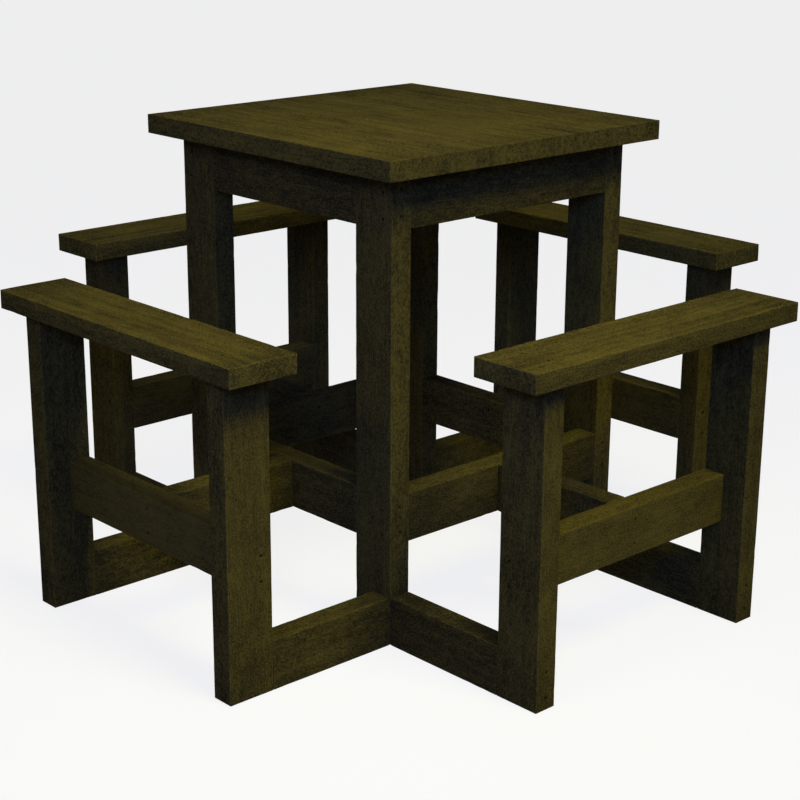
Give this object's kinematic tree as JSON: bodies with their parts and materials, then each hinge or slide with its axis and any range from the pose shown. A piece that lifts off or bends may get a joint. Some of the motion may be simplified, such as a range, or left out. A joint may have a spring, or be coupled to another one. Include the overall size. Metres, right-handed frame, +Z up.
{
  "type": "picnic table",
  "caption": "Square timber picnic table with a bench seat fixed to each side by floor rails and link rails.",
  "frame": {"origin": "on the ground under the middle of the table", "axes": "+Z up; +X to the right bench, +Y to the back bench; the top's boards run along Y"},
  "size_m": [1.14, 1.14, 0.75],
  "materials": {
    "frame_timber": "matt dark olive-brown stain over fine straight grain, slightly blotchy",
    "board_timber": "matt dark olive-brown stain, streaked along each board",
    "screw_steel": "dull dark coating, recessed below the face"
  },
  "bodies": {
    "root": {"table_leg_front_left": "frame_timber", "table_leg_front_right": "frame_timber", "table_leg_back_left": "frame_timber", "table_leg_back_right": "frame_timber", "apron_front": "frame_timber", "apron_right": "frame_timber", "apron_back": "frame_timber", "apron_left": "frame_timber", "mid_rail_front": "frame_timber", "mid_rail_right": "frame_timber", "mid_rail_back": "frame_timber", "mid_rail_left": "frame_timber", "top_board_1": "board_timber", "top_board_2": "board_timber", "top_board_3": "board_timber", "top_board_4": "board_timber", "top_board_5": "board_timber", "bench_leg_front_a": "frame_timber", "bench_leg_front_b": "frame_timber", "floor_rail_front_a": "frame_timber", "floor_rail_front_b": "frame_timber", "bench_stretcher_front": "frame_timber", "link_rail_front": "frame_timber", "seat_front": "board_timber", "bench_leg_right_a": "frame_timber", "bench_leg_right_b": "frame_timber", "floor_rail_right_a": "frame_timber", "floor_rail_right_b": "frame_timber", "bench_stretcher_right": "frame_timber", "link_rail_right": "frame_timber", "seat_right": "board_timber", "bench_leg_back_a": "frame_timber", "bench_leg_back_b": "frame_timber", "floor_rail_back_a": "frame_timber", "floor_rail_back_b": "frame_timber", "bench_stretcher_back": "frame_timber", "link_rail_back": "frame_timber", "seat_back": "board_timber", "bench_leg_left_a": "frame_timber", "bench_leg_left_b": "frame_timber", "floor_rail_left_a": "frame_timber", "floor_rail_left_b": "frame_timber", "bench_stretcher_left": "frame_timber", "link_rail_left": "frame_timber", "seat_left": "board_timber"}
  },
  "joints": []
}
